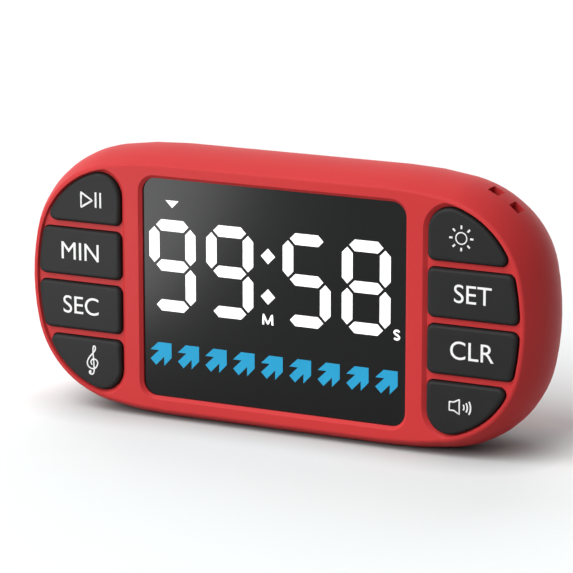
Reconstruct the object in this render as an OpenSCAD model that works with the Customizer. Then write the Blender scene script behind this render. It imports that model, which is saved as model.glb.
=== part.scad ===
// Digital kitchen timer: a pebble-shaped two-part housing, a four-digit display behind a dark panel,
// eight keys on small push switches, a speaker, holding magnets and three AAA cells behind a sliding door.
// Every piece is drawn lying face up: x to the right, y up the face, z out of the face, so a depth
// of 5 below the face is z = -5. stand() turns the timer up onto its flat underside.

/* [Housing] */
// Overall width at the widest section
body_w = 121.8; // [116:0.2:130]
// Overall height at the widest section, before the standing flat is taken off
body_h = 60; // [58.6:0.2:66]
// Depth from the face to the back
body_d = 25; // [24.8:0.2:29]
// Thickness of the face and the side wall
wall = 2; // [1.7:0.1:2.3]
// Thickness of the back wall
back_wall = 2.4; // [2.2:0.1:2.8]
// Rounding where the face meets the side
face_edge_r = 0.95; // [0.6:0.05:1.3]
// Radius of the convex side, from the face to the seam
side_r = 18.1; // [16.5:0.1:22]
// Depth of the widest section below the face
widest_d = 10; // [9:0.1:11]
// Depth of the seam between the front housing and the rear cover
seam_d = 17; // [16:0.2:18]
// Rounding round the back
back_edge_r = 4.5; // [3.5:0.1:5]
// Radius of the slight shoulder at the end of each straight run
shoulder_r = 81; // [70:0.5:95]
// Turn of the shoulder in degrees
shoulder_turn = 10.4; // [9:0.2:12]
// Radius of the corners of the outline
corner_r = 19.8; // [18:0.2:22]
// Turn of each corner in degrees, the end arc takes the rest
corner_turn = 67.8; // [66:0.2:70]
// Height of the standing flat taken off the underside
foot_cut = 0.9; // [0.6:0.1:1.1]
// Height of the lip that locates the rear cover in the front housing
lip_h = 1.5; // [1.2:0.1:2]

/* [Window and panel] */
// Width of the display window
window_w = 62.3; // [59:0.1:63]
// Height of the display window
window_h = 48.1; // [45:0.1:48.6]
// Corner radius of the window
window_r = 3.2; // [2:0.1:5]
// Bevel round the window
window_bevel = 0.7; // [0.4:0.1:0.9]
// Depth of the panel below the face
panel_recess = 1.1; // [1:0.05:1.3]
// Thickness of the dark panel
panel_t = 1.2; // [0.9:0.1:1.5]
// Lap of the panel behind the window's edge
panel_lap = 0.8; // [0.6:0.1:1]

/* [Digits] */
// Distance between the digits of a pair
digit_pitch = 13.84; // [13.4:0.02:14.1]
// Distance from the colon to the nearest digit
colon_gap = 9.12; // [8.9:0.02:9.4]
// Margin of the panel left of the first digit
digit_left = 1.45; // [1:0.05:1.8]
// Margin of the panel right of the last digit, with room for a unit mark
digit_right = 3.7; // [3:0.05:4.2]
// Height of the digits' centre above the middle of the window
digit_y = 5.05; // [3.5:0.05:6]
// Half distance between the upright segments of a digit
digit_half_w = 4.38; // [4.1:0.02:4.5]
// Half distance between the top and bottom segments of a digit
digit_half_h = 8.8; // [8:0.05:9.2]
// Width of a segment
segment_w = 2.5; // [2.2:0.05:2.7]
// Gap between neighbouring segments
segment_gap = 0.45; // [0.3:0.05:0.6]
// Width of a colon point, corner to corner
colon_size = 3.4; // [3:0.1:3.8]
// Number of arrows in the lower row
arrow_count = 9; // [5:1:9]
// Margin of the panel at each end of the arrow row
arrow_margin = 0.95; // [0.6:0.05:1.4]
// Size of an arrow
arrow_size = 4.75; // [4.4:0.05:5.2]
// Height of the arrow row below the middle of the window
arrow_y = -14.5; // [-15.5:0.05:-13.5]

/* [Keys] */
// Web of the face between the window and the keys
key_web = 5.1; // [4.9:0.1:6]
// Distance of the keys from the edge of the face
key_inset = 0.75; // [0.7:0.05:1.2]
// Distance between rows, bar to bar
key_pitch = 12; // [11.4:0.05:12.4]
// Distance between neighbouring keys
key_bar = 1.6; // [1.4:0.05:2]
// Corner radius of a key
key_corner_r = 1.4; // [0.8:0.1:2]
// Large corner radius at the top and bottom of each key column
key_field_r = 5; // [4:0.1:6]
// Rounding of the top edge of a key
key_edge_r = 0.75; // [0.4:0.05:0.9]
// Height of the keys above the face
key_proud = 0.4; // [0.2:0.05:0.8]
// Travel of a key
key_travel = 0.5; // [0.3:0.05:0.6]
// Clearance round a key
key_gap = 0.2; // [0.15:0.05:0.25]
// Lap of a key's flange behind the face
key_flange = 0.4; // [0.3:0.05:0.45]
// Depth of the shallow pocket round a column of keys
pocket_d = 0.7; // [0.4:0.05:0.9]
// Bevel of the pocket's rim
pocket_bevel = 0.9; // [0.5:0.05:1.2]

/* [Board and switches] */
// Depth of the display's light box
reflector_t = 4.7; // [4.4:0.1:5]
// Thickness of the circuit board
board_t = 1.6; // [1.2:0.1:1.6]
// Clearance between the board's edge and the wall
board_clear = 2.2; // [2:0.1:3]
// Width of a push switch
switch_w = 6; // [5:0.1:6.5]
// Height of a push switch's case
switch_h = 2.9; // [2.7:0.05:3]
// Diameter of a switch plunger
plunger_d = 3.4; // [3:0.1:3.6]
// Length of the controller chip
chip_l = 10.4; // [8:0.1:12]
// Width of the controller chip
chip_w = 7.5; // [5:0.1:8]
// Height of the controller chip
chip_h = 2.2; // [1.6:0.1:2.6]
// Distance between the chip's leads
chip_pitch = 1.27; // [1:0.01:1.3]
// Diameter of a capacitor
capacitor_d = 5; // [4:0.1:6]
// Height of a capacitor
capacitor_h = 5.4; // [4:0.1:6]
// Width of the crystal's can
crystal_w = 3.8; // [3:0.1:4.5]
// Length of the crystal's can between its rounded ends
crystal_l = 5.6; // [4:0.1:6]
// Diameter of the board screws' shanks
board_screw_d = 1.5; // [1.4:0.05:1.7]
// Reach of the board screws into their posts
board_screw_l = 3; // [2:0.1:3.5]

/* [Batteries and back] */
// Diameter of an AAA cell
cell_d = 10.5; // [10.3:0.1:10.6]
// Length of an AAA cell with its button
cell_l = 44.5; // [43.5:0.1:45]
// Distance between neighbouring cells
cell_pitch = 11; // [10.9:0.05:11.2]
// Room for a contact spring behind each cell
spring_room = 5.2; // [4.6:0.1:5.6]
// Thickness of the battery door
door_t = 1.6; // [1.4:0.05:1.8]
// Reach of the door's rails into their grooves
door_rail = 0.8; // [0.6:0.05:1]
// Width of the bay's wall, which the door rests on
bay_wall = 1.5; // [1.3:0.1:1.8]
// Diameter of the speaker
speaker_d = 20; // [18:0.5:21]
// Diameter of a holding magnet
magnet_d = 12; // [10:0.5:12.5]
// Height of the speaker
speaker_h = 4.4; // [4:0.1:4.6]
// Thickness of a holding magnet
magnet_t = 2; // [1.5:0.1:2.2]
// Diameter of the housing screws' shanks
screw_d = 2.4; // [2:0.1:2.6]

/* [Cord holes] */
// Width of each cord hole along the shoulder
cord_hole_w = 2.6; // [2:0.1:3]
// Width of each cord hole across the side
cord_hole_d = 3.6; // [2.4:0.1:4]
// Width of the bridge between the two cord holes
cord_bridge = 2.9; // [2.4:0.1:3.6]
// Depth of the cord holes' centre below the face
cord_d = 9.6; // [8.8:0.1:10.4]
// Direction of the bridge from straight up, in degrees
cord_turn = 33.4; // [28:0.2:40]

/* [Hidden] */
KEY_NAMES = ["start", "minutes", "seconds", "melody", "light", "program", "reset", "volume"];

$fn = 40;
past = 1;
fit = 0.15;
slip = 0.1;

// Colours of the moulded and printed parts
red = [0.80, 0.20, 0.20];
soft_black = [0.20, 0.20, 0.20];
panel_black = [0.13, 0.13, 0.14];
lit_white = [0.97, 0.97, 0.97];
arrow_blue = [0.16, 0.64, 0.84];
board_green = [0.10, 0.36, 0.22];
metal = [0.76, 0.77, 0.78];
dark_part = [0.15, 0.15, 0.16];

// Side profile: a rounded face edge, a convex side to the seam, a straight taper and a rounded back.
// An offset is measured outwards from the edge of the flat face.
side_o = -sqrt(pow(side_r - face_edge_r, 2) - pow(widest_d - face_edge_r, 2));
bulge = side_o + side_r;
edge_a = acos((widest_d - face_edge_r) / (side_r - face_edge_r));
seam_a = asin((seam_d - widest_d) / side_r);
function side_at(d) = side_o + sqrt(side_r * side_r - pow(d - widest_d, 2));
function taper_at(d) = side_at(seam_d) - (d - seam_d) * tan(seam_a);
back_o = taper_at(body_d - back_edge_r * (1 - sin(seam_a))) - back_edge_r * cos(seam_a);
edge_steps = 3;
side_steps = 7;
back_steps = 4;
front_sections = concat(
    [for (i = [0:edge_steps]) let (a = edge_a * i / edge_steps)
        [face_edge_r * sin(a), face_edge_r * (1 - cos(a))]],
    [for (i = [1:side_steps]) let (a = edge_a - 90 + (seam_a + 90 - edge_a) * i / side_steps)
        [side_o + side_r * cos(a), widest_d + side_r * sin(a)]]
);
cavity_steps = 5;
front_cavity = concat(
    [for (i = [0:cavity_steps]) let (d = wall + (seam_d - wall) * i / cavity_steps) [side_at(d) - wall, d]],
    [[side_at(seam_d) - wall, seam_d + past]]
);
function back_round(r) = [for (i = [0:back_steps]) let (a = seam_a + (90 - seam_a) * i / back_steps)
    [back_o + r * cos(a), body_d - back_edge_r + r * sin(a)]];
rear_sections = concat([[side_at(seam_d), seam_d]], back_round(back_edge_r));
rear_cavity = concat(
    [[side_at(seam_d) - wall, seam_d - past], [side_at(seam_d) - wall, seam_d]],
    back_round(back_edge_r - back_wall)
);

// Face outline: straight runs above and below, then a shoulder, a corner and an end arc, all tangent.
face_w = body_w / 2 - bulge;
face_h = body_h / 2 - bulge;
end_a = shoulder_turn + corner_turn;
end_r = (face_h - shoulder_r * (1 - cos(shoulder_turn))
    - corner_r * (cos(shoulder_turn) - cos(end_a))) / cos(end_a);
straight_x = face_w - shoulder_r * sin(shoulder_turn)
    - corner_r * (sin(end_a) - sin(shoulder_turn)) - end_r * (1 - sin(end_a));
function heading(a) = [sin(a), cos(a)];
shoulder_c = [straight_x, face_h - shoulder_r];
corner_c = shoulder_c + (shoulder_r - corner_r) * heading(shoulder_turn);
end_c = corner_c + (corner_r - end_r) * heading(end_a);
shoulder_steps = 2;
corner_steps = 14;
end_steps = 3;
function quarter(o) = concat(
    [for (i = [0:shoulder_steps])
        shoulder_c + (shoulder_r + o) * heading(shoulder_turn * i / shoulder_steps)],
    [for (i = [1:corner_steps])
        corner_c + (corner_r + o) * heading(shoulder_turn + corner_turn * i / corner_steps)],
    [for (i = [1:end_steps]) end_c + (end_r + o) * heading(end_a + (90 - end_a) * i / end_steps)]
);
function ring(o) = let (q = quarter(o), n = len(q)) concat(
    q,
    [for (i = [n - 2:-1:0]) [q[i].x, -q[i].y]],
    [for (i = [0:n - 1]) -q[i]],
    [for (i = [n - 2:-1:0]) [-q[i].x, q[i].y]]
);

// Places that several pieces share
panel_w = window_w + 2 * panel_lap;
panel_h = window_h + 2 * panel_lap;
panel_back_d = panel_recess + panel_t;
board_d = panel_back_d + reflector_t;
board_back_d = board_d + board_t;
board_o = side_at(board_d) - wall - board_clear;
key_in = window_w / 2 + key_web;
flange_d = wall + fit;
flange_t = 0.8;
switch_top_d = board_d - switch_h;
plunger_top_d = switch_top_d - key_travel - 0.3;
plunger_l = 2.4;
switch_bore = plunger_l + 0.6;
stem_d = 3;
post_x = (panel_w / 2 + fit + key_in - key_gap) / 2;
post_d = key_in - key_gap - panel_w / 2 - 2 * fit - 0.4;
post_y = window_h / 2 - 4.5;
bay_w = cell_l + spring_room + 0.8;
bay_h = 2 * cell_pitch + cell_d + 0.6;
door_w = bay_w + 2 * bay_wall;
door_edge = door_w / 2 + door_rail;
door_low = bay_h / 2 + bay_wall;
door_d = body_d - door_t;
door_rail_t = 0.6;
rail_d = door_d + 0.2;
cell_c = door_d - 0.3 - cell_d / 2;
bay_floor_d = cell_c - cell_d / 2 - slip;
bay_floor_t = 1.2;
plate_t = 0.4;
column_d = screw_d + 4;
head_d = screw_d + 2.2;
boss_x = door_edge + column_d / 2 + 1;
boss_y = face_h + back_o - head_d / 2 - 0.9;
boss_d = board_back_d + 2;
wall_run = body_h / 2 - boss_y;
head_t = 1.6;
head_seat_d = seam_d + 2.2;
side_x = max(door_edge + speaker_d / 2 + 1.9, (door_edge + face_w + back_o) / 2);
speaker_y = -5.5;
speaker_back_d = body_d - back_wall - 0.3;
magnet_y = 11;

module stand() {
    translate([0, -(body_d - key_proud) / 2, body_h / 2 - foot_cut]) rotate([90, 0, 0]) children();
}

// Skins stacked outlines given as [offset, depth] from the face backwards
module loft(sections) {
    rings = [for (s = sections) [for (p = ring(s[0])) [p.x, p.y, -s[1]]]];
    n = len(rings[0]);
    last = len(rings) - 1;
    polyhedron(
        points = [for (r = rings) each r],
        faces = concat(
            [[for (i = [0:n - 1]) i]],
            [for (j = [0:last - 1]) for (i = [0:n - 1]) let (k = (i + 1) % n)
                [j * n + i, (j + 1) * n + i, (j + 1) * n + k, j * n + k]],
            [[for (i = [n - 1:-1:0]) last * n + i]]
        )
    );
}

// Extrudes a flat shape from one depth below the face down to another
module slab(d0, d1) {
    translate([0, 0, -d1]) linear_extrude(d1 - d0) children();
}

module round_rect(w, h, r) {
    offset(r) square([w - 2 * r, h - 2 * r], center = true);
}

module box(x, y, d0, d1) {
    translate([-x / 2, -y / 2, -d1]) cube([x, y, d1 - d0]);
}

module face_outline(o) {
    polygon(ring(o));
}

// Ring that stands on the rear cover inside the front housing's wall
module lip_shape(gap) {
    difference() {
        face_outline(side_at(seam_d) - wall / 2 - fit + gap);
        face_outline(side_at(seam_d) - wall - gap);
    }
}

module corners(x, y) {
    for (sx = [-1, 1]) for (sy = [-1, 1]) translate([sx * x, sy * y]) children();
}

module both_sides() {
    children();
    mirror([1, 0, 0]) children();
}

// Flat shapes of the keys, drawn for the right column and mirrored to the left
module key_field() {
    offset(key_field_r) offset(delta = -key_field_r) intersection() {
        face_outline(-key_inset);
        translate([key_in, -body_h]) square([body_w, 2 * body_h]);
    }
}

function row_low(row) = [key_pitch + key_bar / 2, key_bar / 2, -key_pitch + key_bar / 2, -body_h][row];
function row_high(row) = -row_low(3 - row);
key_room_x = face_w - key_inset - key_in;
key_room_y = face_h - key_inset - key_pitch - key_bar / 2;
end_switch = [key_in + 0.36 * key_room_x, key_pitch + key_bar / 2 + 0.36 * key_room_y];
mid_switch = [key_in + 0.45 * key_room_x, key_pitch / 2];
function switch_at(row) = row == 0 ? end_switch : row == 1 ? mid_switch
    : row == 2 ? [mid_switch.x, -mid_switch.y] : [end_switch.x, -end_switch.y];

module key_shape(row) {
    offset(key_corner_r) offset(delta = -key_corner_r) intersection() {
        key_field();
        translate([0, row_low(row)]) square([body_w, row_high(row) - row_low(row)]);
    }
}

// Flat shapes of the display: pointed bars for the digits, square points and slanted arrows
module bar(length) {
    tip = segment_w / 2;
    half = length / 2;
    polygon([
        [-half, 0], [tip - half, tip], [half - tip, tip], [half, 0], [half - tip, -tip], [tip - half, -tip]
    ]);
}

// The row of digits fills the window between its margins
digit_run = window_w - digit_left - digit_right;
digit_fill = digit_run / (2 * (colon_gap + digit_pitch + digit_half_w) + segment_w);
colon_x = (digit_left - digit_right) / 2;
arrow_pitch = (window_w - 2 * arrow_margin) / arrow_count;

module digit() {
    side = digit_half_w * digit_fill;
    across = 2 * side - 2 * segment_gap;
    upright = digit_half_h - 2 * segment_gap;
    for (i = [-1:1]) translate([0, i * digit_half_h]) bar(across);
    for (sx = [-1, 1]) for (sy = [-1, 1])
        translate([sx * side, sy * digit_half_h / 2]) rotate(90) bar(upright);
}

module point(size) {
    rotate(45) square(size / sqrt(2), center = true);
}

module digits() {
    for (side = [-1, 1]) for (i = [0, 1])
        translate([colon_x + side * (colon_gap + i * digit_pitch) * digit_fill, digit_y]) digit();
    for (sy = [-1, 1]) translate([colon_x, digit_y + sy * digit_half_h / 2]) point(colon_size);
    translate([colon_x - (colon_gap + digit_pitch) * digit_fill, digit_y + digit_half_h + 4.7])
        polygon([[-1.6, 0.8], [1.6, 0.8], [0, -0.8]]);
}

module arrow() {
    head = 0.63 * arrow_size;
    barb = 0.35 * arrow_size;
    neck = 0.6 * arrow_size;
    tail = 0.74 * arrow_size;
    translate([arrow_size / 2, arrow_size / 2]) polygon([
        [0, 0], [-head, 0], [-arrow_size, -barb], [-neck, -barb], [-arrow_size, -tail],
        [-tail, -arrow_size], [-barb, -neck], [-barb, -arrow_size], [0, -head]
    ]);
}

module arrows() {
    for (i = [0:arrow_count - 1])
        translate([(i - (arrow_count - 1) / 2) * arrow_pitch, arrow_y]) arrow();
}

// Turns to the bridge between the cord holes, x pointing out of the side and y along it
module at_cord() {
    translate([corner_c.x, corner_c.y, -cord_d]) rotate(90 - cord_turn)
        translate([corner_r + side_at(cord_d), 0, 0]) children();
}

module cord_block() {
    length = 2 * cord_hole_w + cord_bridge + 2 * wall;
    at_cord() translate([-3.6, -length / 2, -cord_hole_d / 2 - wall / 2])
        cube([3.6, length, cord_hole_d + wall]);
}

module cord_tunnel() {
    deep = 2.9;
    reach = 2 * cord_hole_w + cord_bridge;
    at_cord() for (s = [-1, 1]) translate([-deep, s * (cord_bridge + cord_hole_w) / 2 - cord_hole_w / 2, 0])
        translate([0, 0, -cord_hole_d / 2]) cube([deep + 2 * past, cord_hole_w, cord_hole_d]);
    at_cord() translate([-deep, -reach / 2, -cord_hole_d / 2]) cube([1.5, reach, cord_hole_d]);
}

module front_housing() {
    color(red) difference() {
        loft(front_sections);
        difference() {
            loft(front_cavity);
            corners(post_x, post_y) slab(0, board_d) circle(d = post_d);
            corners(boss_x, boss_y) slab(boss_d, seam_d + 2 * past) circle(d = screw_d + 3.2);
            for (sx = [-1, 1]) for (sy = [-1, 1])
                translate([sx * boss_x, sy * (boss_y + 0.3 + wall_run / 2)])
                    box(1.6, wall_run, boss_d, seam_d + 2 * past);
            cord_block();
        }
        slab(panel_recess, wall + past)
            round_rect(panel_w + 2 * fit, panel_h + 2 * fit, window_r + panel_lap);
        slab(-past, panel_recess + past / 2) round_rect(window_w, window_h, window_r);
        window_rim();
        both_sides() key_pocket();
        slab(seam_d - lip_h - slip, seam_d + past) lip_shape(fit);
        cord_tunnel();
        corners(post_x, post_y) slab(wall + past, board_d + past) circle(d = board_screw_d + slip);
        corners(boss_x, boss_y) slab(boss_d + past, seam_d + past) circle(d = screw_d + slip);
        translate([-body_w / 2, -body_h, -seam_d - past])
            cube([body_w, body_h / 2 + foot_cut, seam_d + 2 * past]);
    }
}

// Bevel round the window, run on a little below the window's edge
module window_rim() {
    run_on = 0.2;
    hull() for (o = [window_bevel, -run_on])
        slab(-past, window_bevel - o) round_rect(window_w + 2 * o, window_h + 2 * o, window_r + o);
}

module key_pocket() {
    ledge = key_gap / 4;
    hull() {
        slab(-past, 0) intersection() {
            offset(key_gap + pocket_bevel) key_field();
            face_outline(-key_inset / 4);
        }
        slab(-past, pocket_d) offset(key_gap + ledge) key_field();
    }
    for (row = [0:3]) slab(-past, wall + past) offset(key_gap) key_shape(row);
}

// A rounded cap on a flanged skirt, with a stem that meets the switch's plunger
module key(index) {
    side = index < 4 ? 1 : 0;
    row = index % 4;
    at = switch_at(row);
    steps = 3;
    color(soft_black) mirror([side, 0, 0]) {
        hull() for (i = [0:steps]) let (a = 90 * i / steps)
            slab(-key_proud + key_edge_r * (1 - sin(a)), flange_d + flange_t)
                offset(delta = -key_edge_r * (1 - cos(a))) key_shape(row);
        slab(flange_d, flange_d + flange_t) intersection() {
            offset(key_gap + key_flange) key_shape(row);
            face_outline(side_at(flange_d) - wall - fit);
            translate([key_in, -body_h]) square([body_w, 2 * body_h]);
        }
        translate(at) slab(flange_d, plunger_top_d) circle(d = stem_d);
    }
}

module plunger(index) {
    side = index < 4 ? 1 : 0;
    color(dark_part) mirror([side, 0, 0]) translate(switch_at(index % 4))
        slab(plunger_top_d, plunger_top_d + plunger_l) circle(d = plunger_d);
}

module switch_cases() {
    corner = 0.4;
    color(dark_part) both_sides() for (row = [0:3]) translate(switch_at(row)) difference() {
        slab(switch_top_d, board_d) intersection() {
            square(switch_w, center = true);
            rotate(45) square(switch_w * sqrt(2) - 2 * corner, center = true);
        }
        slab(switch_top_d - past, plunger_top_d + switch_bore) circle(d = plunger_d + 2 * slip);
    }
}

module display_panel() {
    color(panel_black) difference() {
        slab(panel_recess, panel_back_d) round_rect(panel_w, panel_h, window_r + panel_lap);
        slab(panel_recess - past, panel_back_d + past) {
            digits();
            arrows();
        }
    }
}

// The lit shapes pass through the panel and stand in pockets of the light box
light_seat = 1.2;

module digit_segments() {
    color(lit_white) slab(panel_recess, panel_back_d + light_seat) digits();
}

module arrow_segments() {
    color(arrow_blue) slab(panel_recess, panel_back_d + light_seat) arrows();
}

module display_reflector() {
    rim = 1;
    color(lit_white) difference() {
        box(window_w - 2 * rim, window_h - 2 * rim, panel_back_d, board_d);
        slab(panel_back_d - past, panel_back_d + light_seat) {
            digits();
            arrows();
        }
    }
}

module main_board() {
    color(board_green) difference() {
        slab(board_d, board_back_d) face_outline(board_o);
        corners(post_x, post_y) slab(board_d - past, board_back_d + past)
            circle(d = board_screw_d + 2 * slip);
    }
}

module board_screws() {
    color(metal) corners(post_x, post_y) {
        slab(board_d - board_screw_l, board_back_d) circle(d = board_screw_d);
        slab(board_back_d, board_back_d + board_screw_d / 2) circle(d = 2 * board_screw_d);
    }
}

// Chip with bent leads on the back of the board, beside the battery bay
module controller_chip() {
    lead_count = floor((chip_l - chip_pitch) / chip_pitch);
    lead_reach = chip_w / 10;
    color(dark_part) translate([side_x, chip_l / 2 + 2]) {
        box(chip_w, chip_l, board_back_d + slip, board_back_d + slip + chip_h);
        for (sx = [-1, 1]) for (i = [0:lead_count - 1])
            translate([sx * chip_w / 2, (i - (lead_count - 1) / 2) * chip_pitch])
                box(2 * lead_reach, 0.36 * chip_pitch, board_back_d, board_back_d + chip_h / 3);
    }
}

module capacitors() {
    base = capacitor_d + 0.4;
    color(metal) for (sx = [-1, 1]) translate([side_x + 0.8 * sx * capacitor_d, -capacitor_d - 1]) {
        slab(board_back_d, board_back_d + capacitor_h / 6) square(base, center = true);
        slab(board_back_d, board_back_d + capacitor_h) circle(d = capacitor_d);
    }
}

module crystal() {
    level = -2 * capacitor_d - crystal_w;
    color(metal) translate([side_x, level]) slab(board_back_d, board_back_d + chip_h) {
        square([crystal_l, crystal_w], center = true);
        for (sx = [-1, 1]) translate([sx * crystal_l / 2, 0]) circle(d = crystal_w);
    }
}

module rear_cover() {
    color(red) difference() {
        union() {
            difference() {
                loft(rear_sections);
                difference() {
                    loft(rear_cavity);
                    corners(boss_x, boss_y) slab(seam_d, body_d) circle(d = column_d);
                    translate([-side_x, speaker_y]) slab(speaker_back_d - 3, body_d)
                        circle(d = speaker_d + 3);
                    both_sides() translate([side_x, magnet_y])
                        slab(body_d - magnet_t - 1.4, body_d) circle(d = magnet_d + 3);
                }
            }
            box(door_w, bay_h + 2 * bay_wall, bay_floor_d - bay_floor_t, door_d);
            slab(seam_d - lip_h, seam_d + past) lip_shape(0);
        }
        box(bay_w, bay_h, bay_floor_d, body_d);
        door_space(slip);
        corners(boss_x, boss_y) {
            slab(seam_d - past, body_d) circle(d = screw_d + 2 * slip);
            slab(head_seat_d, body_d) circle(d = head_d + 2 * slip);
        }
        translate([-side_x, speaker_y]) {
            slab(speaker_back_d - 3 - past, speaker_back_d + 0.3) circle(d = speaker_d + 2 * fit);
            sound_holes();
        }
        both_sides() translate([side_x, magnet_y])
            slab(body_d - magnet_t - slip, body_d + past) circle(d = magnet_d + 2 * slip);
    }
}

module sound_holes() {
    hole_d = 1.5;
    ring_r = 3;
    slab(body_d - back_wall - past, body_d + past) {
        circle(d = hole_d);
        for (k = [1, 2]) for (i = [0:6 * k - 1]) rotate(60 * i / k) translate([k * ring_r, 0])
            circle(d = hole_d);
    }
}

// Room for the door: its plate and, under the back wall's edges, its two rails
module door_space(gap) {
    run = body_h;
    translate([-door_w / 2 - gap, -door_low - gap, -body_d - past])
        cube([door_w + 2 * gap, run, door_t + past + gap]);
    translate([-door_w / 2 - door_rail - gap, -door_low - gap, -rail_d - door_rail_t - gap])
        cube([door_w + 2 * door_rail + 2 * gap, run, door_rail_t + 2 * gap]);
}

module battery_door() {
    groove_r = 0.5;
    groove_l = 16;
    color(red) difference() {
        intersection() {
            loft(rear_sections);
            door_space(0);
        }
        for (i = [0:3]) translate([-groove_l / 2, 6 + 2.2 * i, -body_d]) rotate([0, 90, 0])
            cylinder(r = groove_r, h = groove_l);
    }
}

// A cell along x with its button at the right end
module cell() {
    button_d = 3.8;
    button_h = 1;
    rotate([0, 90, 0]) rotate_extrude() polygon([
        [0, 0], [cell_d / 2 - 0.6, 0], [cell_d / 2, 0.6], [cell_d / 2, cell_l - button_h - 0.6],
        [cell_d / 2 - 0.6, cell_l - button_h], [button_d / 2, cell_l - button_h],
        [button_d / 2, cell_l], [0, cell_l]
    ]);
}

// Places one of the three cells, every second one turned end for end
module at_cell(i) {
    translate([0, (i - 1) * cell_pitch, -cell_c]) rotate(i == 1 ? 180 : 0) children();
}

module battery_cells() {
    color(metal) for (i = [0:2]) at_cell(i) translate([bay_w / 2 - plate_t - cell_l, 0, 0]) cell();
}

module contact_plates() {
    plate_w = 8;
    color(metal) for (i = [0:2]) at_cell(i) for (s = [-1, 1])
        translate([s * (bay_w - plate_t) / 2, 0, 0]) cube([plate_t, plate_w, plate_w], center = true);
}

// Conical spring from the bay's end plate to the flat end of a cell, as one swept wire
spring_wire = 0.7;
spring_turns = 3.5;
spring_wide = 3.6;
spring_narrow = 2.4;
spring_rings = 8;
spring_sides = 6;
spring_run = spring_room - spring_wire;

function spring_point(t) = let (
        r = spring_wide + (spring_narrow - spring_wide) * t,
        a = 360 * spring_turns * t
    )
    [-bay_w / 2 + plate_t + spring_wire / 2 + slip + (spring_run - 2 * slip) * t, r * cos(a), r * sin(a)];

module spring() {
    n = spring_rings * spring_turns;
    rings = [for (j = [0:n]) let (
            p = spring_point(j / n),
            a = 360 * spring_turns * j / n
        ) [for (i = [0:spring_sides - 1]) let (b = 360 * i / spring_sides)
            p + spring_wire / 2 * [sin(b), cos(b) * cos(a), cos(b) * sin(a)]]];
    m = spring_sides;
    polyhedron(
        points = [for (r = rings) each r],
        faces = concat(
            [[for (i = [0:m - 1]) i]],
            [for (j = [0:n - 1]) for (i = [0:m - 1]) let (k = (i + 1) % m)
                each [[j * m + i, (j + 1) * m + i, (j + 1) * m + k],
                    [j * m + i, (j + 1) * m + k, j * m + k]]],
            [[for (i = [m - 1:-1:0]) n * m + i]]
        )
    );
}

module battery_springs() {
    color(metal) for (i = [0:2]) at_cell(i) spring();
}

// A thin wire through the points of a path
module lead(path, d) {
    for (i = [0:len(path) - 2]) {
        run = path[i + 1] - path[i];
        across = norm([run.x, run.y]);
        translate(path[i]) rotate([0, atan2(across, run.z), atan2(run.y, run.x)])
            cylinder(d = d, h = norm(run));
    }
    for (i = [1:len(path) - 2]) translate(path[i]) sphere(d = d);
}

lead_d = 1.1;

module battery_leads() {
    start = door_w / 2;
    out = start + 2 * lead_d;
    level = bay_floor_d + 3 * lead_d;
    color(soft_black) for (s = [-1, 1])
        lead([[start, s * cell_pitch, -level], [out, s * cell_pitch, -level],
            [out, s * cell_pitch, -board_back_d]], lead_d);
}

module speaker_leads() {
    foot = speaker_back_d - speaker_h;
    across = 3 * lead_d;
    along = speaker_y + 0.38 * speaker_d;
    color(soft_black) for (s = [-1, 1])
        lead([[-side_x + across * s, along, -foot], [-side_x + across * s, along, -board_back_d]], lead_d);
}

module at_speaker() {
    translate([-side_x, speaker_y, -speaker_back_d]) children();
}

module speaker_frame() {
    r = speaker_d / 2;
    color(dark_part) at_speaker() rotate_extrude() polygon([
        [r - 1.4, 0], [r, 0], [r, 0.8], [r - 0.6, 0.8], [r - 0.6, speaker_h], [0, speaker_h],
        [0, speaker_h - 0.8], [r - 1.4, speaker_h - 0.8]
    ]);
}

module speaker_cone() {
    r = speaker_d / 2 - 1.4 - slip;
    color(soft_black) at_speaker() rotate_extrude() polygon([
        [0, 0.9], [r / 3, 0.5], [r / 2, 1], [r - 0.8, 0.2], [r, 0.2], [r, 0.5], [r - 0.8, 0.5], [r / 2, 1.3],
        [r / 3, 0.8], [0, 1.2]
    ]);
}

module speaker_magnet() {
    back_plate = 0.8;
    color(metal) at_speaker() translate([0, 0, 0.4 * speaker_h])
        cylinder(d = speaker_d / 2, h = 0.6 * speaker_h - back_plate);
}

module holding_magnets() {
    color(metal) both_sides() translate([side_x, magnet_y])
        slab(body_d - magnet_t, body_d) circle(d = magnet_d);
}

module housing_screws() {
    slot_d = 1.2;
    color(metal) corners(boss_x, boss_y) difference() {
        union() {
            slab(boss_d + 2 * past, head_seat_d) circle(d = screw_d);
            slab(head_seat_d, head_seat_d + head_t) circle(d = head_d);
        }
        for (a = [0, 90]) rotate(a) box(head_d * 0.6, 0.7, head_seat_d + head_t - slot_d, body_d);
    }
}

stand() front_housing();
stand() rear_cover();
stand() battery_door();
stand() display_panel();
stand() digit_segments();
stand() arrow_segments();
stand() display_reflector();
stand() main_board();
stand() controller_chip();
stand() capacitors();
stand() crystal();
stand() switch_cases();
stand() speaker_frame();
stand() speaker_cone();
stand() speaker_magnet();
stand() speaker_leads();
stand() battery_cells();
stand() battery_springs();
stand() contact_plates();
stand() battery_leads();
stand() holding_magnets();
stand() housing_screws();
stand() board_screws();
for (i = [0:7]) {
    stand() key(i);
    stand() plunger(i);
}
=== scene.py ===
import math

import bmesh
import bpy
from mathutils import Matrix, Vector


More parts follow.
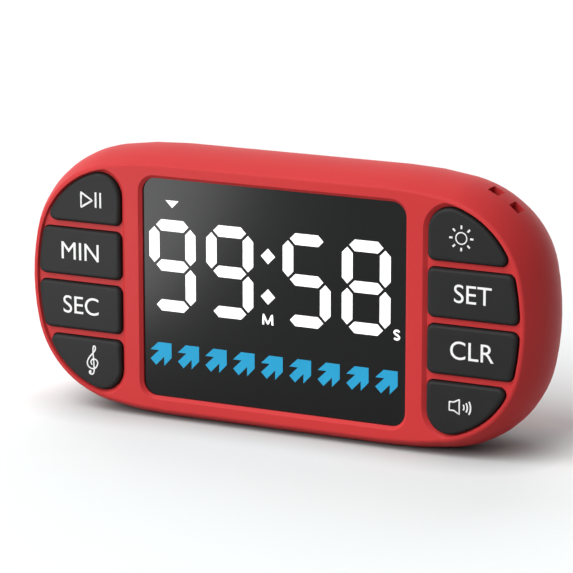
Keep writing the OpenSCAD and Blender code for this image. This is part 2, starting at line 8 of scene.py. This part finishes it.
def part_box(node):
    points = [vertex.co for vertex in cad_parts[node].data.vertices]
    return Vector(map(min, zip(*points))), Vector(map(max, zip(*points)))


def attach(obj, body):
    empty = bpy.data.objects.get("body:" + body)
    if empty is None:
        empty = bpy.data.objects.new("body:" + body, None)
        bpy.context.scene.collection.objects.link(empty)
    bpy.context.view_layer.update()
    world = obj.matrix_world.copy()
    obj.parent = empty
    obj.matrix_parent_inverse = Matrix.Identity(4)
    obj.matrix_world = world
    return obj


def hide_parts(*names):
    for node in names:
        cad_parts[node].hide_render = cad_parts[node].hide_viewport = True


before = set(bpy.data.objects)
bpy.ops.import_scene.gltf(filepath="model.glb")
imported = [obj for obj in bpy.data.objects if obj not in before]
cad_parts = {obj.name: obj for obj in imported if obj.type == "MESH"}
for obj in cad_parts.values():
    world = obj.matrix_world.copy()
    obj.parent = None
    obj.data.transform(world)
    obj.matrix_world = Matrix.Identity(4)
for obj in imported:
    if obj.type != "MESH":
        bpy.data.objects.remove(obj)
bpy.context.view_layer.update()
scene = bpy.context.scene
mm = 0.001
mergeWithin = 0.004 * mm  # corners of CAD triangles this close are one

# the flat face: its plane, and its centre, half the housing's height under the top
faceUnderTop = 30.0 * mm
housingLow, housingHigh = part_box("front_housing")
faceCentre = Vector((0.0, housingLow.y, housingHigh.z - faceUnderTop))
print("frame loaded, face plane at y =", round(faceCentre.y / mm, 2), "mm")


# puts a drawing in millimetres, x right and y up, on the face and lifts it out of it
def onFace(x, up, out=0.0):
    stand = Matrix.Translation(faceCentre) @ Matrix.Rotation(math.radians(90), 4, "X")
    return stand @ Matrix.Translation((x * mm, up * mm, out * mm)) @ Matrix.Scale(mm, 4)


def newPiece(name, bm, body, slotName, *materials):
    mesh = bpy.data.meshes.new(name)
    bm.to_mesh(mesh)
    bm.free()
    for material in materials:
        mesh.materials.append(material)
    piece = bpy.data.objects.new(name, mesh)
    scene.collection.objects.link(piece)
    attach(piece, body)
    return piece


# one moulded or plated finish: colour that drifts a little, uneven gloss and a fine grain
finishBase = {"driftDetail": 3, "tintFrom": 0.3, "tintTo": 0.7, "grainDetail": 2, "grainDepth": 0.00004}


def makeFinish(name, look):
    material = bpy.data.materials.new(name)
    material.use_nodes = True
    nodes, links = material.node_tree.nodes, material.node_tree.links
    shader = nodes["Principled BSDF"]
    where = nodes.new("ShaderNodeTexCoord")
    drift = nodes.new("ShaderNodeTexNoise")
    drift.inputs["Scale"].default_value = look["driftScale"]
    drift.inputs["Detail"].default_value = finishBase["driftDetail"]
    links.new(where.outputs["Object"], drift.inputs["Vector"])
    tint = nodes.new("ShaderNodeValToRGB")
    low = [c * (1 - look["drift"]) for c in look["colour"]]
    high = [min(1, c * (1 + look["drift"])) for c in look["colour"]]
    tint.color_ramp.elements[0].color = (*low, 1)
    tint.color_ramp.elements[1].color = (*high, 1)
    tint.color_ramp.elements[0].position = finishBase["tintFrom"]
    tint.color_ramp.elements[1].position = finishBase["tintTo"]
    links.new(drift.outputs["Fac"], tint.inputs["Fac"])
    links.new(tint.outputs["Color"], shader.inputs["Base Color"])
    gloss = nodes.new("ShaderNodeMapRange")
    gloss.inputs["To Min"].default_value = look["rough"] - look["roughDrift"]
    gloss.inputs["To Max"].default_value = look["rough"] + look["roughDrift"]
    links.new(drift.outputs["Fac"], gloss.inputs["Value"])
    links.new(gloss.outputs["Result"], shader.inputs["Roughness"])
    grain = nodes.new("ShaderNodeTexNoise")
    grain.inputs["Scale"].default_value = look["grainScale"]
    grain.inputs["Detail"].default_value = finishBase["grainDetail"]
    links.new(where.outputs["Object"], grain.inputs["Vector"])
    bump = nodes.new("ShaderNodeBump")
    bump.inputs["Strength"].default_value = look["grain"]
    bump.inputs["Distance"].default_value = finishBase["grainDepth"]
    links.new(grain.outputs["Fac"], bump.inputs["Height"])
    links.new(bump.outputs["Normal"], shader.inputs["Normal"])
    shader.inputs["Metallic"].default_value = look.get("metal", 0.0)
    shader.inputs["Specular IOR Level"].default_value = look.get("specular", 0.5)
    if "glow" in look:
        shader.inputs["Emission Color"].default_value = (*look["colour"], 1)
        shader.inputs["Emission Strength"].default_value = look["glow"]
    return material


def mergedCopy(nodeName):
    bm = bmesh.new()
    bm.from_mesh(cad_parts[nodeName].data)
    bmesh.ops.remove_doubles(bm, verts=bm.verts, dist=mergeWithin)
    return bm


# a copy of a moulded solid with soft shading and crisp edges
def mouldedCopy(nodeName, pieceName, body, slotName, material, sharpAngle):
    bm = mergedCopy(nodeName)
    for face in bm.faces:
        face.smooth = True
        face.material_index = 0
    for edge in bm.edges:
        edge.smooth = edge.calc_face_angle(0.0) < math.radians(sharpAngle)
    piece = newPiece(pieceName, bm, body, slotName, material)
    shading = piece.modifiers.new("evenShading", "WEIGHTED_NORMAL")
    shading.keep_sharp = True
    shading.weight = 80  # large flats rule the shading beside them
    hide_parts(nodeName)


# housing: satin red plastic
housingLook = {"colour": (0.58, 0.04, 0.042), "drift": 0.02, "driftScale": 60,
               "rough": 0.46, "roughDrift": 0.03,
               "grain": 0.10, "grainScale": 4200, "specular": 0.1, "sharp": 32}
housingFinish = makeFinish("satinRedPlastic", housingLook)
mouldedCopy("front_housing", "frontShell", "housing", "housing_red", housingFinish, housingLook["sharp"])
mouldedCopy("rear_cover", "rearShell", "housing", "housing_red", housingFinish, housingLook["sharp"])
mouldedCopy("battery_door", "slidingDoor", "battery_door", "housing_red", housingFinish, housingLook["sharp"])
print("housing pieces done")

# keys: soft matte black caps
keyLook = {"colour": (0.012, 0.012, 0.012), "drift": 0.10, "driftScale": 220,
           "rough": 0.55, "roughDrift": 0.05,
           "grain": 0.22, "grainScale": 5200, "specular": 0.17, "sharp": 38}
keyFinish = makeFinish("softBlackKey", keyLook)
keyNames = ["start", "minutes", "seconds", "melody", "light", "program", "reset", "volume"]
for keyName in keyNames:
    mouldedCopy("key_" + keyName, keyName + "Cap", "key_" + keyName, "key_black", keyFinish, keyLook["sharp"])
print("key caps done")

# legends: printed white strokes and plain capitals, a hair above the caps, which stand 0.4 mm out of the face
legendLook = {"colour": (0.86, 0.86, 0.86), "drift": 0.02, "driftScale": 400,
              "rough": 0.5, "roughDrift": 0.03,
              "grain": 0.05, "grainScale": 6000, "out": 0.41, "flatten": 0.03, "merge": 0.002}
legendFinish = makeFinish("printedWhite", legendLook)
strokeBase = {"rounding": 2, "besideCorner": 0.3}  # points stand this share of the width from a corner


# a drawn stroke, with points close to each corner so that it keeps its width along the straights
def drawStroke(bm, points, width, closed=False):
    dense = []
    for (x0, y0), (x1, y1) in zip(points, points[1:] + (points[:1] if closed else [])):
        dense.append((x0, y0))
        length = math.hypot(x1 - x0, y1 - y0)
        if length > width:
            near = strokeBase["besideCorner"] * width / length
            dense += [(x0 + (x1 - x0) * t, y0 + (y1 - y0) * t) for t in (near, 1 - near)]
    if not closed:
        dense.append(points[-1])
    curve = bpy.data.curves.new("stroke", "CURVE")
    curve.dimensions = "3D"
    curve.bevel_depth = width / 2
    curve.bevel_resolution = strokeBase["rounding"]
    curve.use_fill_caps = True
    line = curve.splines.new("POLY")
    line.points.add(len(dense) - 1)
    for spot, (x, y) in zip(line.points, dense):
        spot.co = (x, y, 0, 1)
    line.use_cyclic_u = closed
    addCurve(bm, curve)


# turns a curve or text into mesh faces of the drawing
def addCurve(bm, curve):
    holder = bpy.data.objects.new(curve.name, curve)
    mesh = bpy.data.meshes.new_from_object(holder)
    bm.from_mesh(mesh)
    bpy.data.objects.remove(holder)
    bpy.data.curves.remove(curve)
    bpy.data.meshes.remove(mesh)


def arcPoints(cx, cy, radius, start, end, steps):
    turns = [math.radians(start + (end - start) * i / steps) for i in range(steps + 1)]
    return [(cx + radius * math.cos(t), cy + radius * math.sin(t)) for t in turns]


def ringPoints(cx, cy, radius, count):
    return arcPoints(cx, cy, radius, 0, 360 - 360 / count, count - 1)


# a smooth line through a few chosen points
def smoothLine(points, steps):
    line = []
    padded = [points[0]] + points + [points[-1]]
    for a, b, c, d in zip(padded, padded[1:], padded[2:], padded[3:]):
        for i in range(steps):
            t = i / steps
            line.append(tuple(0.5 * (2 * q + (r - p) * t + (2 * p - 5 * q + 4 * r - s) * t * t
                                     + (3 * q - p - 3 * r + s) * t * t * t)
                              for p, q, r, s in zip(a, b, c, d)))
    return line + [points[-1]]


def flatten(bm, share):
    bmesh.ops.scale(bm, vec=(1, 1, share), verts=bm.verts)


def printLegend(bm, name, body, spot):
    bmesh.ops.remove_doubles(bm, verts=bm.verts, dist=legendLook["merge"])
    flatten(bm, legendLook["flatten"])
    bmesh.ops.transform(bm, matrix=onFace(*spot, legendLook["out"]), verts=bm.verts)
    newPiece(name, bm, body, "lit_white", legendFinish)


startSign = {"spot": (-43.3, 17.9), "stroke": 0.44, "half": 1.62, "tip": 0.4, "left": -2.3,
             "bars": (1.3, 2.45), "barStroke": 0.46, "barLow": -1.5, "barHigh": 1.9}
bm = bmesh.new()
drawStroke(bm, [(startSign["left"], startSign["half"]), (startSign["tip"], 0),
                (startSign["left"], -startSign["half"])], startSign["stroke"], True)
for barX in startSign["bars"]:
    drawStroke(bm, [(barX, startSign["barHigh"]), (barX, startSign["barLow"])], startSign["barStroke"])
printLegend(bm, "startSign", "key_start", startSign["spot"])

sunSign = {"spot": (43.95, 18.0), "stroke": 0.27, "disc": 1.22, "discPoints": 24,
           "rays": 8, "rayStroke": 0.4185, "rayIn": 1.95, "rayOut": 2.7}
bm = bmesh.new()
drawStroke(bm, ringPoints(0, 0, sunSign["disc"], sunSign["discPoints"]), sunSign["stroke"], True)
for inner, outer in zip(ringPoints(0, 0, sunSign["rayIn"], sunSign["rays"]),
                        ringPoints(0, 0, sunSign["rayOut"], sunSign["rays"])):
    drawStroke(bm, [inner, outer], sunSign["rayStroke"])
printLegend(bm, "sunSign", "key_light", sunSign["spot"])

speakerSign = {"spot": (44.2, -17.65), "stroke": 0.32,
               "horn": [(-2.5, 0.9), (-1.5, 0.9), (-0.25, 1.55), (-0.25, -1.55), (-1.5, -0.9), (-2.5, -0.9)],
               "waves": (1.12, 1.86, 2.6), "waveFrom": -0.3, "waveStroke": 0.352, "waveSteps": 8, "open": 32}
bm = bmesh.new()
drawStroke(bm, speakerSign["horn"], speakerSign["stroke"], True)
for wave in speakerSign["waves"]:
    drawStroke(bm, arcPoints(speakerSign["waveFrom"], 0, wave, -speakerSign["open"], speakerSign["open"],
                             speakerSign["waveSteps"]), speakerSign["waveStroke"])
printLegend(bm, "speakerSign", "key_volume", speakerSign["spot"])

clefSign = {"spot": (-43.4, -17.75), "stroke": 0.32, "steps": 5,
            "ball": 0.34, "ballAt": (-0.5, -2.5), "ballPoints": 12,
            "line": [(0.0, -0.95), (-0.3, -0.3), (0.15, 0.35), (1.0, 0.3), (1.4, -0.45), (0.9, -1.5),
                     (0.0, -1.8), (-0.95, -1.35), (-1.2, -0.4), (-0.7, 0.65), (0.1, 1.6), (0.75, 2.4),
                     (0.85, 3.1), (0.5, 3.35), (0.3, 2.95), (0.25, 2.0), (0.35, 0.5), (0.45, -1.0),
                     (0.45, -2.4), (0.1, -3.0), (-0.5, -3.0), (-0.75, -2.65), (-0.5, -2.5)]}
bm = bmesh.new()
drawStroke(bm, smoothLine(clefSign["line"], clefSign["steps"]), clefSign["stroke"])
ball = ringPoints(*clefSign["ballAt"], clefSign["ball"] / 2, clefSign["ballPoints"])
drawStroke(bm, ball, clefSign["ball"], True)
printLegend(bm, "clefSign", "key_melody", clefSign["spot"])

wordSigns = {"height": 3.9, "heightShare": 0.7, "thick": 0.4,  # a capital takes this share of the text size
             "minutes": ("MIN", (-46.05, 6.1)), "seconds": ("SEC", (-46.0, -5.9)),
             "program": ("SET", (46.6, 6.1)), "reset": ("CLR", (46.5, -5.9))}
for keyName in ("minutes", "seconds", "program", "reset"):
    word, spot = wordSigns[keyName]
    text = bpy.data.curves.new("letters", "FONT")
    text.body = word
    text.size = wordSigns["height"] / wordSigns["heightShare"]
    text.align_x = "CENTER"
    text.align_y = "CENTER"
    text.extrude = wordSigns["thick"]
    bm = bmesh.new()
    addCurve(bm, text)
    printLegend(bm, keyName + "Sign", "key_" + keyName, spot)
print("legends done")

# display: smoked panel, lit bars, dark bars, blue arrows and the two unit marks
panelLook = {"colour": (0.0022, 0.0022, 0.0023), "drift": 0.04, "driftScale": 80,
             "rough": 0.26, "roughDrift": 0.02,
             "grain": 0.03, "grainScale": 3000, "specular": 0.2}
panelFinish = makeFinish("smokedPanel", panelLook)
litLook = {"colour": (0.95, 0.95, 0.95), "drift": 0.01, "driftScale": 300,
           "rough": 0.4, "roughDrift": 0.02,
           "grain": 0.02, "grainScale": 3000, "glow": 0.4}
litFinish = makeFinish("litWhite", litLook)
arrowLook = {"colour": (0.025, 0.325, 0.57), "drift": 0.03, "driftScale": 300,
             "rough": 0.5, "roughDrift": 0.02,
             "grain": 0.02, "grainScale": 3000, "specular": 0.08, "glow": 0.12}
arrowFinish = makeFinish("litBlue", arrowLook)


# the separate bars of a merged copy, as lists of faces
def barsOf(bm):
    left = set(bm.faces)
    while left:
        bar, edge = [], [left.pop()]
        while edge:
            face = edge.pop()
            bar.append(face)
            for other in {f for e in face.edges for f in e.link_faces} & left:
                left.discard(other)
                edge.append(other)
        yield bar


# dark bars are given as digit from the left, side (-1 left, 1 right) and half (-1 lower, 1 upper)
digitShow = {"centres": (-24.07, -10.24, 7.99, 21.82), "up": 5.05, "halfWide": 4.38, "halfHigh": 4.4,
             "dark": [(0, -1, -1), (1, -1, -1), (2, 1, 1), (2, -1, -1)]}
bm = mergedCopy("digit_segments")
for bar in barsOf(bm):
    spots = [face.calc_center_median() - faceCentre for face in bar]
    x = sum(s.x for s in spots) / len(spots) / mm
    up = sum(s.z for s in spots) / len(spots) / mm - digitShow["up"]
    digit = min(range(len(digitShow["centres"])), key=lambda i: abs(x - digitShow["centres"][i]))
    side = round((x - digitShow["centres"][digit]) / digitShow["halfWide"])
    half = round(up / digitShow["halfHigh"])
    for face in bar:
        face.material_index = 1 if (digit, side, half) in digitShow["dark"] else 0
digitBars = newPiece("digitBars", bm, "housing", "lit_white", litFinish, panelFinish)
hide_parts("digit_segments")

# the arrows fill their slots to the brim: each grows a little from its upper right corner
arrowShow = {"grow": 1.085, "out": 0.02}
bm = mergedCopy("arrow_segments")
for bar in barsOf(bm):
    corners = list({v for f in bar for v in f.verts})
    pivot = Vector((max(v.co.x for v in corners), 0, max(v.co.z for v in corners)))
    bmesh.ops.scale(bm, vec=(arrowShow["grow"], 1, arrowShow["grow"]), verts=corners,
                    space=Matrix.Translation(-pivot))
    bmesh.ops.translate(bm, vec=(0, -arrowShow["out"] * mm, 0), verts=corners)
arrowBars = newPiece("arrowBars", bm, "housing", "lit_blue", arrowFinish)
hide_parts("arrow_segments")

unitMarks = {"mSpot": (-1.15, -4.36), "mStroke": 0.5,
             "mLine": [(-1.1, -1.08), (-1.02, 1.08), (0, -0.85), (1.02, 1.08), (1.1, -1.08)],
             "sSpot": (28.95, -4.33), "sStroke": 0.5, "sSteps": 4,
             "sLine": [(0.58, 0.66), (0.18, 0.94), (-0.36, 0.85), (-0.54, 0.48), (-0.26, 0.15), (0.26, -0.12),
                       (0.54, -0.47), (0.36, -0.85), (-0.18, -0.94), (-0.6, -0.68)],
             "out": -1.08, "flatten": 0.05}  # the panel lies 1.1 mm behind the face
secondsLine = smoothLine(unitMarks["sLine"], unitMarks["sSteps"])
for name, spot, line, stroke in (
        ("minutesMark", unitMarks["mSpot"], unitMarks["mLine"], unitMarks["mStroke"]),
        ("secondsMark", unitMarks["sSpot"], secondsLine, unitMarks["sStroke"])):
    bm = bmesh.new()
    drawStroke(bm, line, stroke)
    flatten(bm, unitMarks["flatten"])
    bmesh.ops.transform(bm, matrix=onFace(*spot, unitMarks["out"]), verts=bm.verts)
    newPiece(name, bm, "housing", "lit_white", litFinish)
print("display done")

# inner and hidden pieces keep their solids and get their own finishes
boardLook = {"colour": (0.012, 0.10, 0.045), "drift": 0.15, "driftScale": 700,
             "rough": 0.4, "roughDrift": 0.06,
             "grain": 0.15, "grainScale": 2500}
whiteLook = {"colour": (0.78, 0.78, 0.74), "drift": 0.03, "driftScale": 120,
             "rough": 0.5, "roughDrift": 0.05,
             "grain": 0.06, "grainScale": 3000}
partLook = {"colour": (0.018, 0.018, 0.020), "drift": 0.12, "driftScale": 300,
            "rough": 0.5, "roughDrift": 0.06,
            "grain": 0.12, "grainScale": 5000}
metalLook = {"colour": (0.62, 0.62, 0.60), "drift": 0.06, "driftScale": 900,
             "rough": 0.32, "roughDrift": 0.08,
             "grain": 0.08, "grainScale": 4000, "metal": 1.0}
magnetLook = {"colour": (0.40, 0.41, 0.42), "drift": 0.05, "driftScale": 500,
              "rough": 0.28, "roughDrift": 0.07,
              "grain": 0.10, "grainScale": 2500, "metal": 1.0}
cellLook = {"colour": (0.06, 0.09, 0.16), "drift": 0.08, "driftScale": 260,
            "rough": 0.35, "roughDrift": 0.05,
            "grain": 0.04, "grainScale": 3000}
filmLook = {"colour": (0.03, 0.03, 0.032), "drift": 0.15, "driftScale": 900,
            "rough": 0.7, "roughDrift": 0.06,
            "grain": 0.2, "grainScale": 6000}
wireLook = {"colour": (0.02, 0.02, 0.02), "drift": 0.1, "driftScale": 900,
            "rough": 0.55, "roughDrift": 0.05,
            "grain": 0.1, "grainScale": 6000}
blackNames = ["controller_chip", "switch_cases", "speaker_frame"]
blackNames += ["plunger_" + keyName for keyName in keyNames]
innerPieces = [
    (panelFinish, ["display_panel"]),
    (makeFinish("lightBoxWhite", whiteLook), ["display_reflector"]),
    (makeFinish("boardGreen", boardLook), ["main_board"]),
    (makeFinish("mouldedBlack", partLook), blackNames),
    (makeFinish("platedMetal", metalLook), ["capacitors", "crystal", "speaker_magnet", "battery_springs",
                                            "contact_plates", "housing_screws", "board_screws"]),
    (makeFinish("platedMagnet", magnetLook), ["holding_magnets"]),
    (makeFinish("cellJacket", cellLook), ["battery_cells"]),
    (makeFinish("speakerFilm", filmLook), ["speaker_cone"]),
    (makeFinish("wireSleeve", wireLook), ["speaker_leads", "battery_leads"]),
]
for finish, nodeNames in innerPieces:
    for nodeName in nodeNames:
        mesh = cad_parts[nodeName].data
        mesh.materials.clear()
        mesh.materials.append(finish)
print("inner pieces finished")


# 1 for what the camera sees, straight or in gloss and glass, and 0 for light that bounces
def seenRays(tree):
    path = tree.nodes.new("ShaderNodeLightPath")
    seen = path.outputs["Is Camera Ray"]
    for ray in ("Is Glossy Ray", "Is Transmission Ray"):
        both = tree.nodes.new("ShaderNodeMath")
        both.use_clamp = True
        tree.links.new(seen, both.inputs[0])
        tree.links.new(path.outputs[ray], both.inputs[1])
        seen = both.outputs[0]
    return seen


# a colour that gives way to another socket's colour as the factor rises
def giveWay(tree, colour, factor, other):
    mix = tree.nodes.new("ShaderNodeMix")
    mix.data_type = "RGBA"
    mix.inputs["A"].default_value = (*colour, 1)
    tree.links.new(factor, mix.inputs["Factor"])
    tree.links.new(other, mix.inputs["B"])
    return mix.outputs["Result"]


# stage: pale floor that shows nearly white, with painted shade close under the object, and throws less light
# back
floorLook = {"colour": (0.905, 0.935, 0.935), "drift": 0.005, "driftScale": 3,
             "rough": 0.8, "roughDrift": 0.02,
             "grain": 0.0, "grainScale": 400, "specular": 0.1,
             "half": 3.0, "bounce": (0.46, 0.46, 0.46), "near": (0.27, 0.355, 0.355), "paintedShadeReach": 0.013}
floorFinish = makeFinish("paleFloor", floorLook)
tree = floorFinish.node_tree
floorShader = tree.nodes["Principled BSDF"]
# painted shade: where the object stands close over the floor, its shown colour darkens towards the near
# colour
openness = tree.nodes.new("ShaderNodeAmbientOcclusion")
openness.inputs["Distance"].default_value = floorLook["paintedShadeReach"]
plainColour = floorShader.inputs["Base Color"].links[0].from_socket
shownWithPaintedShade = giveWay(tree, floorLook["near"], openness.outputs["AO"], plainColour)
floorColour = giveWay(tree, floorLook["bounce"], seenRays(tree), shownWithPaintedShade)
tree.links.new(floorColour, floorShader.inputs["Base Color"])
bm = bmesh.new()
bmesh.ops.create_grid(bm, x_segments=2, y_segments=2, size=floorLook["half"])
floorMesh = bpy.data.meshes.new("paleFloor")
bm.to_mesh(floorMesh)
bm.free()
floorMesh.materials.append(floorFinish)
floor = bpy.data.objects.new("paleFloor", floorMesh)
scene.collection.objects.link(floor)

# soft studio light: two broad lamps, from the left and from behind, and a low one that sheens the panel
lampSet = {
    "keyLamp": {"kind": "SUN", "at": (-0.36, -0.66, 0.66), "towards": (0, 0, 0),
                "strength": 3.27, "spread": 65},
    "backLamp": {"kind": "SUN", "at": (-0.5, 0.72, 0.48), "towards": (0, 0, 0),
                 "strength": 1.2, "spread": 60, "gloss": False},
    "sheenLamp": {"kind": "AREA", "at": (-0.0835, -0.0965, 0.02), "towards": (-0.03, -0.011, 0.04),
                  "strength": 0.05, "wide": 0.034, "high": 0.06, "tilt": -30, "diffuse": False},
}
for lampName, lamp in lampSet.items():
    light = bpy.data.lights.new(lampName, lamp["kind"])
    light.energy = lamp["strength"]
    turn = (Vector(lamp["towards"]) - Vector(lamp["at"])).to_track_quat("-Z", "Y").to_matrix()
    if lamp["kind"] == "SUN":
        light.angle = math.radians(lamp["spread"])
    else:
        light.shape = "RECTANGLE"
        light.size = lamp["wide"]
        light.size_y = lamp["high"]
        turn = turn @ Matrix.Rotation(math.radians(lamp["tilt"]), 3, "Z")
    holder = bpy.data.objects.new(lampName, light)
    holder.location = lamp["at"]
    holder.rotation_euler = turn.to_euler()
    holder.visible_camera = False
    holder.visible_glossy = lamp.get("gloss", True)
    holder.visible_diffuse = lamp.get("diffuse", True)
    scene.collection.objects.link(holder)

# sky: white where it is seen, and a dim light on the object that fades from left to right
skyLook = {"colour": (1.0, 1.0, 1.0), "left": 0.48, "right": 0.02, "shown": 1.0}
world = bpy.data.worlds.new("evenSky")
world.use_nodes = True
tree = world.node_tree
skyShader = tree.nodes["Background"]
skyShader.inputs["Color"].default_value = (*skyLook["colour"], 1)
where = tree.nodes.new("ShaderNodeTexCoord")
across = tree.nodes.new("ShaderNodeSeparateXYZ")
tree.links.new(where.outputs["Generated"], across.inputs["Vector"])
fade = tree.nodes.new("ShaderNodeMapRange")
fade.inputs["From Min"].default_value = -1
fade.inputs["To Min"].default_value = skyLook["left"]
fade.inputs["To Max"].default_value = skyLook["right"]
tree.links.new(across.outputs["X"], fade.inputs["Value"])
level = tree.nodes.new("ShaderNodeMix")
level.inputs["B"].default_value = skyLook["shown"]
tree.links.new(seenRays(tree), level.inputs["Factor"])
tree.links.new(fade.outputs["Result"], level.inputs["A"])
tree.links.new(level.outputs["Result"], skyShader.inputs["Strength"])
scene.world = world
scene.view_settings.view_transform = "Standard"

# camera: from the right and a little above, aimed at a point given in mm from the centre of the face
cameraSet = {"azimuth": 26.59, "elevation": 13.07, "distance": 0.6988, "lens": 208.06, "sensor": 36,
             "aim": (3.25, 1.13, 3.38)}
az, el = math.radians(cameraSet["azimuth"]), math.radians(cameraSet["elevation"])
back = Vector((math.sin(az) * math.cos(el), -math.cos(az) * math.cos(el), math.sin(el)))
camera = bpy.data.cameras.new("photoCamera")
camera.lens = cameraSet["lens"]
camera.sensor_width = cameraSet["sensor"]
cameraHolder = bpy.data.objects.new("photoCamera", camera)
aimPoint = faceCentre + Vector(cameraSet["aim"]) * mm
cameraHolder.location = aimPoint + back * cameraSet["distance"]
cameraHolder.rotation_euler = (-back).to_track_quat("-Z", "Y").to_euler()
scene.collection.objects.link(cameraHolder)
scene.camera = cameraHolder
print("stage, light and camera done")
